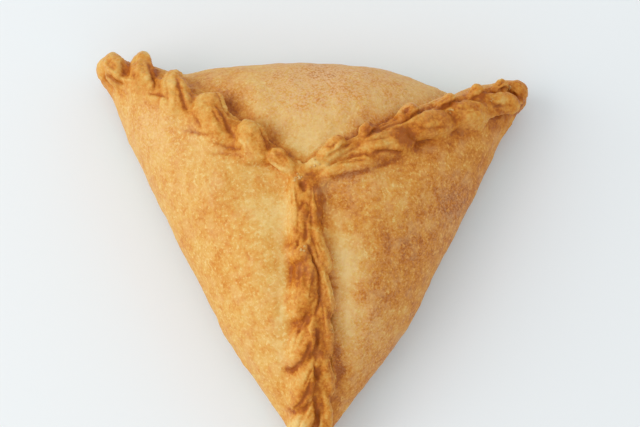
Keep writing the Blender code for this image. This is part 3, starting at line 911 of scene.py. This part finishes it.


# Browner and paler strokes (a paler one's change is negative), placed by the seams as the creases are: the
# change, the half width and the line. They are partly the crust's own browning and partly painted shade on
# the folds' shaded flanks and under their heads, with painted highlights on some lit faces.
strokes = {
    "low": (
        (0.26, 1.4, ((19.8, -5.7), (22.9, -6.2))), (0.30, 1.2, ((26.6, -0.5), (29.7, 0.1), (32.0, 0.2))),
        (0.20, 1.4, ((43.0, -6.5), (41.8, -3.8), (39.9, -1.2))),
        (0.38, 1.1, ((47.1, -1.1), (49.8, -1.9), (51.4, -3.9))),
        (0.32, 1.0, ((52.6, -8.3), (53.3, -6.1), (52.5, -3.9))),
        (0.32, 1.2, ((56.5, -0.5), (59.4, -1.5), (60.8, -3.7))),
        (0.34, 1.2, ((62.1, -7.3), (63.1, -4.5), (61.9, -2.0))), (-0.16, 2.0, ((45.3, -6.3), (47.1, -3.6))),
        (-0.16, 2.0, ((57.0, -6.3), (56.2, -3.8))), (0.30, 2.2, ((26.8, -3.4), (33.0, -4.2))),
        (-0.16, 1.8, ((37.0, -4.2), (41.0, -4.4))), (0.36, 1.1, ((3.7, 4.2), (9.0, 4.1), (16.1, 3.2))),
        (0.30, 0.9, ((9.4, -0.7), (12.8, -0.2), (15.6, -0.8))), (0.36, 1.2, ((3.7, -0.5), (5.1, 0.7))),
        (0.24, 1.1, ((16.7, -0.1), (19.4, -1.2))), (0.16, 0.8, ((22.1, 5.1), (25.9, 5.8))),
        (0.26, 0.9, ((39.4, 3.7), (41.1, 4.2))), (0.26, 0.9, ((49.0, 2.2), (51.2, 2.4))),
        (0.26, 0.9, ((53.6, 0.3), (55.1, 1.1))), (0.34, 1.3, ((46.0, 6.3), (51.8, 6.9), (58.2, 6.1))),
        (0.22, 0.6, ((43.6, 0.3), (46.2, 0.8), (48.8, 0.5))), (0.22, 0.6, ((52.9, 0.3), (55.3, 1.4))),
        (0.22, 0.6, ((61.0, 0.1), (63.2, 1.0), (65.6, 1.4))),
        (-0.34, 1.2, ((22.0, -7.6), (35.0, -8.6), (42.8, -8.9))),
        (-0.40, 3.0, ((13.0, 8.6), (25.0, 10.0), (38.0, 9.6), (47.0, 8.8))),
        (-0.20, 0.8, ((44.8, -9.3), (50.8, -9.4))), (-0.30, 2.4, ((5.8, -5.0), (17.0, -6.4))),
        (-0.26, 1.1, ((-1.5, 1.1), (-1.7, 5.3))), (-0.12, 0.7, ((27.7, 3.5), (32.0, 4.6), (36.0, 4.9))),
        (-0.48, 3.0, ((65.0, -5.0), (69.0, -3.0))),
    ),
    "right": (
        (0.46, 0.9, ((33.2, 1.5), (35.8, 2.3))), (0.46, 0.8, ((45.3, 1.0), (49.5, 0.8))),
        (0.34, 0.7, ((57.7, 0.2), (61.7, 1.5))), (0.22, 0.7, ((15.7, -0.6), (20.1, -0.6), (24.7, 1.0))),
        (-0.24, 1.4, ((21.7, -3.4), (25.4, -3.5), (26.7, -4.6))),
        (0.44, 1.6, ((28.5, -3.6), (30.9, -5.1), (31.5, -6.6))), (0.34, 1.8, ((8.0, 2.4), (14.8, 3.6))),
        (0.30, 1.6, ((20.0, 2.2), (24.8, 3.6))), (0.18, 1.6, ((33.6, 3.2), (38.4, 4.8))),
        (0.10, 1.5, ((45.6, 2.4), (50.4, 3.8))), (0.20, 0.6, ((19.6, -4.6), (23.5, -5.4), (28.2, -7.5))),
        (0.18, 0.7, ((4.5, -5.0), (9.4, -6.6), (15.4, -8.0), (22.2, -8.2), (27.6, -8.1))),
        (-0.34, 3.0, ((3.0, -1.0), (9.0, -1.4), (15.0, -1.4))),
        (0.26, 1.6, ((28.1, -1.6), (32.0, -2.6), (33.0, -5.4))), (-0.14, 2.0, ((36.0, -3.4), (43.4, -5.4))),
        (-0.14, 2.0, ((49.5, -4.2), (57.0, -5.6))), (-0.28, 1.8, ((61.5, -2.6), (66.5, -3.2))),
        (0.30, 0.7, ((69.4, 0.4), (68.8, -4.7))), (0.18, 0.7, ((34.4, -2.8), (38.6, -5.2), (44.4, -5.5))),
        (0.18, 0.8, ((7.7, -6.0), (18.7, -8.8))), (-0.14, 0.7, ((7.2, -1.5), (14.6, -1.6), (19.2, -2.3))),
        (-0.10, 1.6, ((12.5, -10.4), (26.7, -10.8))),
    ),
    "left": (
        (0.38, 0.9, ((63.6, -3.3), (60.6, -1.4), (57.7, 0.6))),
        (0.42, 0.9, ((57.4, -6.8), (53.6, -4.0), (50.3, -1.2))),
        (0.36, 0.9, ((45.0, -4.6), (41.3, -1.2), (37.6, 2.0))),
        (0.34, 1.3, ((29.5, -2.4), (25.7, -0.4), (22.2, 1.3))),
        (0.26, 1.1, ((14.6, -3.0), (12.0, -1.5), (9.9, 0.0))),
        (0.10, 2.6, ((31.4, -6.9), (28.5, -6.8), (24.4, -5.0))),
        (0.10, 2.2, ((14.5, -6.4), (11.2, -4.6), (6.9, -1.8))), (-0.12, 1.0, ((60.0, -5.2), (55.6, -1.3))),
        (-0.12, 1.2, ((47.6, -4.2), (44.4, -1.0))), (-0.10, 2.0, ((38.2, -2.2), (32.9, -1.4))),
        (-0.18, 1.0, ((18.4, 2.2), (16.4, 2.7))), (0.18, 0.9, ((35.2, 6.5), (30.9, 5.7), (26.2, 5.3))),
        (0.20, 1.2, ((25.2, 6.3), (21.7, 5.9), (18.6, 5.0))),
        (0.18, 0.8, ((51.2, 2.5), (47.9, 1.5), (44.6, 1.8))), (0.12, 1.0, ((42.9, 9.7), (36.5, 7.8))),
        (0.20, 1.4, ((7.7, -0.6), (4.7, -0.6))),
    ),
}


# 1 to the left of a seam and 0 to its right, with a soft step between.
def leftShare(across, blend):
    return 0.5 + 0.5 * np.tanh(across / blend)


def spots(places, rows):
    return sum(change * roundSpot(places[:, 0] - x * mm, places[:, 1] - y * mm, radius * mm)
               for x, y, radius, change in rows)


def bakeCrust(thing):
    places = coordinates(thing.data) - junction
    facing = normals(thing.data)
    by = {name: seamPlaces(name, places) for name in seams}
    blend = baking["panelBlend"]
    panels = {(first, second): leftShare(by[first][1], blend) * leftShare(-by[second][1], blend)
              for first, second in baking["panels"]}
    browningAndShade = sum(panels[ends] * baking["panels"][ends] for ends in panels) / sum(panels.values())
    # patches, some of them painted shade in the hollows behind the left rope
    browningAndShade += spots(places, baking["patches"])
    flour = baking["flour"] + spots(places, baking["flourPatches"])
    onRope, valley, ropeLevel, flankShade = np.zeros((4, len(places)))
    for name, (along, across) in by.items():
        made = baking["ropes"][name]
        grown = made["start"] + (1 - made["start"]) * smoothStep(0.0, baking["ropeGrown"], along)
        width, aside = made["halfWidth"] * grown, np.abs(across - made["centre"] * grown)
        inside = leftShare(width - aside, baking["ropeBlend"]) * smoothStep(*baking["ropeBegin"], along)
        ropeLevel = np.where(inside > onRope, made["level"], ropeLevel)
        flankShade = np.where(inside > onRope, made["flank"], flankShade)
        onRope = np.maximum(onRope, inside)
        beside = np.exp(-(((aside - width - baking["valleyGap"]) / baking["valleyReach"]) ** 2))
        valley = np.maximum(valley, beside * window(along, baking["valleyEnds"]))
    browningAndShade -= baking["valleyPale"] * valley * (1 - onRope)
    browningAndShade += (ropeLevel - browningAndShade) * onRope
    # painted shade on the ropes' sides that face away from the key light, with some real browning, and
    # painted light on the sides that face it
    turned = facing[:, :2] @ np.array(baking["flank"])
    browningAndShade += onRope * (flankShade * np.clip(turned, 0, 1) - baking["litSidePale"] * np.clip(-turned, 0, 1))
    # darker round a spot just past each fold's head
    for row in foldRows:
        along, across = by[row["seam"]]
        for fold in row["folds"]:
            tail, head = np.array(fold[:2]), np.array(fold[2:4])
            dark = (head + (head - tail) / np.linalg.norm(head - tail) * fold[4] * baking["headGap"]) * mm
            spot = roundSpot(along - dark[0], across - dark[1], baking["headRadius"])
            browningAndShade += baking["headDarker"] * spot
    # strokes: partly browning, partly painted shade and painted highlights
    for name, change, width, line in marks(strokes):
        browningAndShade += change * lineNearness(*by[name], line, width * mm)
    below = 1 - smoothStep(*baking["undersideFacing"], facing[:, 2])
    browningAndShade += (baking["underside"] - browningAndShade) * below
    # painted shade in the creases, with some deeper browning, darkest where a crease is deepest
    crease = np.zeros(len(places))
    margin, share = baking["creaseWidth"]
    for name, depth, width, line in marks(creases):
        if depth > 0:
            near = lineNearness(*by[name], line, (width * share + margin) * mm)
            crease = np.maximum(crease, min(1.0, depth / baking["fullCrease"]) * near)
    crease *= smoothStep(0.0, finish["fullFacing"], facing[:, 2])
    step = np.full(len(places), baking["cavityStep"])
    smoothed = soften(places, edgePairs(thing.data), step, baking["cavityRounds"])
    cavity = np.sum((smoothed - places) * facing, axis=1) / baking["cavityDepth"]
    flour *= (1 - baking["flourOffRopes"] * onRope) * (1 - below)
    marked = {
        "browningAndShade": browningAndShade, "crease": crease, "cavity": np.clip(cavity, -1, 1), "flour": flour,
        "rope": onRope}
    for label, values in marked.items():
        attribute = thing.data.attributes.new(label, "FLOAT", "POINT")
        attribute.data.foreach_set("value", values.astype(np.float32))


crust = {
    # browning, with the painted shade and painted light laid on it, and its colour
    "bakes": (
        (0.00, (0.775, 0.53, 0.20)), (0.22, (0.740, 0.46, 0.137)), (0.42, (0.695, 0.358, 0.073)),
        (0.62, (0.64, 0.250, 0.028)), (0.82, (0.51, 0.150, 0.006)), (1.00, (0.37, 0.088, 0.003))),
    "flourColour": (0.75, 0.465, 0.235),
    # the painted shade in the creases
    "creaseShadeColour": (0.36, 0.085, 0.003),
    # the dough's noises: size, detail, roughness and seed
    "noises": {
        "patch": (11 * mm, 2.0, 0.5, 1.3),
        "blotch": (3.0 * mm, 4.0, 0.65, 4.1),
        "freckle": (0.80 * mm, 3.0, 0.6, 7.7),
        "grain": (0.55 * mm, 2.0, 0.6, 2.9),
        "speck": (1.0 * mm, 3.0, 0.7, 5.5),
        "peach": (5.0 * mm, 3.0, 0.6, 9.2),
    },
    "brownShares": {"patch": 0.45, "blotch": 1.00, "freckle": 0.72},
    # painted shade in the hollows and painted light on rounded tops, from the cavity
    "cavityShadeShare": 0.26,
    # what a noise gives: the values it rises between, and the lowest and highest share or roughness
    "speckSpan": (0.52, 0.66, 0.0, 0.36),       # paler specks all over, and peach patches
    "peachSpan": (0.48, 0.66, 0.0, 0.34),
    "ropeBare": 0.7,                            # how far the ropes go without these two
    "flourSpan": (0.42, 0.60, 0.10, 0.90),
    "creaseSpan": (0.2, 0.6, 0.55, 0.95),
    "roughnessSpan": (0.3, 0.7, 0.62, 0.42),
    "peachColour": (0.77, 0.46, 0.175),
    "shine": {"Specular IOR Level": 0.22, "Subsurface Weight": 0.10,
              "Subsurface Radius": (1.0, 0.42, 0.14), "Subsurface Scale": 2.0 * mm},
    "bump": 0.10 * mm,
    "blotchBump": 1.6,                          # against the freckles' 1
}


def crustMaterial():
    material, tree, shader, place = newMaterial("bakedCrust")
    noises = {name: noiseNode(tree, place, *values) for name, values in crust["noises"].items()}
    level = attributeNode(tree, "browningAndShade")
    for name, share in crust["brownShares"].items():
        swing = mathNode(tree, "SUBTRACT", noises[name], 0.5)
        level = mathNode(tree, "ADD", level, mathNode(tree, "MULTIPLY", swing, share))
    # painted shade in the hollows and painted light on rounded tops
    hollowShade = mathNode(tree, "MULTIPLY", attributeNode(tree, "cavity"), crust["cavityShadeShare"])
    level = mathNode(tree, "ADD", level, hollowShade)
    onRope = mathNode(tree, "MULTIPLY", attributeNode(tree, "rope"), crust["ropeBare"])
    offRope = mathNode(tree, "SUBTRACT", 1.0, onRope)
    speck = spanNode(tree, noises["speck"], *crust["speckSpan"])
    level = mathNode(tree, "SUBTRACT", level, mathNode(tree, "MULTIPLY", speck, offRope))
    ramp = addNode(tree, "ShaderNodeValToRGB", {"Fac": level})
    stops = ramp.color_ramp.elements
    while len(stops) < len(crust["bakes"]):
        stops.new(0.5)
    for stop, (position, colour) in zip(stops, crust["bakes"]):
        stop.position = position
        stop.color = (*colour, 1.0)
    dust = spanNode(tree, noises["grain"], *crust["flourSpan"])
    dust = mathNode(tree, "MULTIPLY", dust, attributeNode(tree, "flour"), clamp=True)
    colour = mixNode(tree, dust, ramp.outputs["Color"], crust["flourColour"])
    peach = mathNode(tree, "MULTIPLY", spanNode(tree, noises["peach"], *crust["peachSpan"]), offRope)
    colour = mixNode(tree, peach, colour, crust["peachColour"])
    # painted shade in the creases
    creased = spanNode(tree, noises["blotch"], *crust["creaseSpan"])
    creased = mathNode(tree, "MULTIPLY", attributeNode(tree, "crease"), creased, clamp=True)
    colour = mixNode(tree, creased, colour, crust["creaseShadeColour"])
    height = mathNode(tree, "MULTIPLY", noises["blotch"], crust["blotchBump"])
    height = mathNode(tree, "ADD", height, noises["freckle"])
    bump = addNode(tree, "ShaderNodeBump", {"Strength": 1.0, "Distance": crust["bump"], "Height": height})
    roughness = spanNode(tree, noises["blotch"], *crust["roughnessSpan"])
    feedNode(tree, shader, {
        "Base Color": colour, "Roughness": roughness, "Normal": bump.outputs["Normal"], **crust["shine"]})
    return material


relief = {
    # each layer's size, height and detail; the last is the ropes' own roughness
    "layers": {
        "Lump": (9.0 * mm, 0.45 * mm, 1.0),
        "Pucker": (2.6 * mm, 0.16 * mm, 1.0),
        "Grain": (1.1 * mm, 0.07 * mm, 1.0),
        "Rope": (2.2 * mm, 0.34 * mm, 2.0),
    },
    "fullFrom": 4 * mm,         # the height from which all of it shows; the base has none
    "seed": 3.0,
}


def reliefTree():
    labels = [f"{layer} {what}" for layer in relief["layers"] for what in ("size", "height", "detail")]
    tree, given = newTree("crustRelief", (), (*labels, "Full from", "Seed"))
    total = 0.0
    for layer in relief["layers"]:
        inputs = {"Detail": given[f"{layer} detail"], "W": given["Seed"]}
        field = fieldNode(tree, given[f"{layer} size"], inputs, noise_dimensions="4D")
        height = mathNode(tree, "MULTIPLY", field["Fac"], given[f"{layer} height"])
        if layer == "Rope":
            height = mathNode(tree, "MULTIPLY", height, storedNode(tree, "rope"))
        total = mathNode(tree, "ADD", total, height)
    shown = spanNode(tree, partsNode(tree)["Z"], 0.0, given["Full from"])
    outward = addNode(tree, "GeometryNodeInputNormal").outputs["Normal"]
    amount = mathNode(tree, "MULTIPLY", total, shown)
    return endTree(tree, given, pushNode(tree, given["Geometry"], outward, amount))


def addRelief(thing, material):
    values = {"Full from": relief["fullFrom"], "Seed": relief["seed"], "Material": material}
    for layer, (size, height, detail) in relief["layers"].items():
        values.update({f"{layer} size": size, f"{layer} height": height, f"{layer} detail": detail})
    useTree(thing, reliefTree(), values)
    plainMesh(thing, "pastyCrust")
    thing.data.shade_smooth()


print("baking the crust")
bakeCrust(pasty)
pasty.data.materials.clear()
addRelief(pasty, crustMaterial())
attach(pasty, "root")
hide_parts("pasty")


# Crumbs on the ropes: clusters in plan from the junction, with their radius in millimetres and count.
crumbs = {
    "clusters": (
        (-0.6, -2.2, 1.3, 8), (1.0, -22.8, 0.9, 6), (8.6, -43.9, 0.8, 6), (42.6, 20.2, 0.9, 5),
        (55.0, 26.0, 0.8, 4), (61.0, 32.3, 0.9, 4), (3.3, 1.0, 2.2, 4),
    ),
    "halfSize": (0.16 * mm, 0.36 * mm),
    "subdivisions": 3,
    "unevenness": 0.35,         # of a crumb's half size
    "unevenDetail": 1.0,
    "toneNoise": (1.2 * mm, 2.0, 0.5, 6.1),
    "toneSpan": (0.35, 0.65),
    "colours": ((0.56, 0.27, 0.055), (0.70, 0.43, 0.15)),
    "roughness": 0.6,
    "seed": 11,
}


def crumbTree():
    tree, given = newTree("doughCrumbs", ("Subdivisions", "Seed"), (
        "Least size", "Most size", "Unevenness", "Uneven detail"))
    ball = addNode(tree, "GeometryNodeMeshIcoSphere", {"Radius": 1.0, "Subdivisions": given["Subdivisions"]})
    size = addNode(tree, "FunctionNodeRandomValue", {
        2: given["Least size"], 3: given["Most size"], "Seed": given["Seed"]}, data_type="FLOAT")
    turn = addNode(tree, "FunctionNodeRandomValue", {1: [math.tau] * 3, "Seed": given["Seed"]},
                   data_type="FLOAT_VECTOR")
    balls = copiesNode(tree, given, ball.outputs["Mesh"], turn.outputs[0], size.outputs[1])
    uneven = fieldNode(tree, given["Most size"], {"Detail": given["Uneven detail"]})["Color"]
    height = mathNode(tree, "MULTIPLY", given["Unevenness"], given["Most size"])
    return endTree(tree, given, pushNode(tree, balls, uneven, height))


def crumbMaterial():
    material, tree, shader, place = newMaterial("paleCrumbs")
    tone = spanNode(tree, noiseNode(tree, place, *crumbs["toneNoise"]), *crumbs["toneSpan"])
    colour = mixNode(tree, tone, *crumbs["colours"])
    feedNode(tree, shader, {"Base Color": colour, "Roughness": crumbs["roughness"]})
    return material


def addCrumbs():
    surface = BVHTree.FromObject(pasty, bpy.context.evaluated_depsgraph_get())
    draw = np.random.default_rng(crumbs["seed"])
    places = []
    for x, y, radius, count in crumbs["clusters"]:
        for _ in range(count):
            gap, turn = radius * mm * math.sqrt(draw.random()), math.tau * draw.random()
            east = junction[0] + x * mm + gap * math.cos(turn)
            north = junction[1] + y * mm + gap * math.sin(turn)
            place = surface.ray_cast((east, north, 1.0), (0, 0, -1))[0]
            if place:
                places.append(tuple(place))
    data = bpy.data.meshes.new("crumbPoints")
    data.from_pydata(places, [], [])
    made = newObject("doughCrumbs", data)
    useTree(made, crumbTree(), {
        "Least size": crumbs["halfSize"][0], "Most size": crumbs["halfSize"][1], "Seed": crumbs["seed"],
        "Subdivisions": crumbs["subdivisions"], "Unevenness": crumbs["unevenness"],
        "Uneven detail": crumbs["unevenDetail"], "Material": crumbMaterial()})
    plainMesh(made, "doughCrumbs")
    made.data.shade_smooth()
    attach(made, "root")
    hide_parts("pasty")


print("scattering the crumbs")
addCrumbs()


studio = {
    "floorSize": 2.0,
    "floorRoughness": 0.7,
    "floorColour": (0.83, 0.845, 0.84),
    "besideColour": (0.815, 0.905, 0.92),   # cooler, against the warm light that the crust throws there
    "besideReach": 16 * mm,
    "besideFade": (58 * mm, 80 * mm, 1.0, 0.2),     # less of it round the corners
    "keyPlace": (-1.32, -0.16, 1.00),
    "keySize": 1.50,
    "keyPower": 13.8,
    "skyColour": (0.925, 0.965, 1.0, 1.0),
    "skyStrength": 0.84,
    "lens": 100.0,
    "nearest": 0.01,
    "elevation": 74.0,
    "distance": 0.516,
    "aim": (5.47 * mm, -4.37 * mm),   # beside the junction
    "aimHeight": 10 * mm,
}


def floorMaterial():
    material, tree, shader, place = newMaterial("floorPaint")
    gaps = []
    for side in dough["sides"]:
        first, second = (earCentre(name) for name in side["ends"])
        outward = -leftOf((second - first).normalized())
        reach = (first + Vector(junction[:2])).dot(outward) + seams[side["ends"][0]]["ear"] + side["swell"]
        away = addNode(tree, "ShaderNodeVectorMath", {0: place, 1: (*outward, 0.0)}, operation="DOT_PRODUCT")
        gaps.append(mathNode(tree, "SUBTRACT", away.outputs["Value"], reach))
    gap = mathNode(tree, "MAXIMUM", mathNode(tree, "MAXIMUM", gaps[0], gaps[1]), gaps[2])
    near = mathNode(tree, "SUBTRACT", 1.0, mathNode(tree, "DIVIDE", gap, studio["besideReach"]), clamp=True)
    apart = addNode(tree, "ShaderNodeVectorMath", {0: place, 1: tuple(junction)}, operation="DISTANCE")
    fading = spanNode(tree, apart.outputs["Value"], *studio["besideFade"])
    share = mathNode(tree, "MULTIPLY", mathNode(tree, "MULTIPLY", near, near), fading)
    colour = mixNode(tree, share, studio["floorColour"], studio["besideColour"])
    feedNode(tree, shader, {"Base Color": colour, "Roughness": studio["floorRoughness"]})
    return material


def addStudio():
    mesh = bmesh.new()
    bmesh.ops.create_grid(mesh, x_segments=1, y_segments=1, size=studio["floorSize"])
    floor = newObject("floor", toMesh("floor", mesh))
    floor.data.materials.append(floorMaterial())
    world = bpy.data.worlds.new("studioSky")
    world.use_nodes = True
    feedNode(world.node_tree, world.node_tree.nodes["Background"], {
        "Color": studio["skyColour"], "Strength": studio["skyStrength"]})
    bpy.context.scene.world = world
    lamp = bpy.data.lights.new("key", "AREA")
    lamp.energy = studio["keyPower"]
    lamp.size = studio["keySize"]
    key = newObject("key", lamp)
    key.location = studio["keyPlace"]
    key.rotation_mode = "QUATERNION"
    key.rotation_quaternion = (-Vector(studio["keyPlace"])).to_track_quat("-Z", "Y")


def addCamera():
    eye = bpy.data.cameras.new("camera")
    eye.lens = studio["lens"]
    eye.clip_start = studio["nearest"]
    camera = newObject("camera", eye)
    elevation = math.radians(studio["elevation"])
    back = Vector((0, -math.cos(elevation), math.sin(elevation)))
    aim = Vector((junction[0] + studio["aim"][0], junction[1] + studio["aim"][1], studio["aimHeight"]))
    camera.location = aim + back * studio["distance"]
    camera.rotation_mode = "QUATERNION"
    camera.rotation_quaternion = (-back).to_track_quat("-Z", "Y")
    bpy.context.scene.camera = camera


print("setting the studio")
addStudio()
addCamera()
bpy.context.scene.view_settings.view_transform = "Standard"
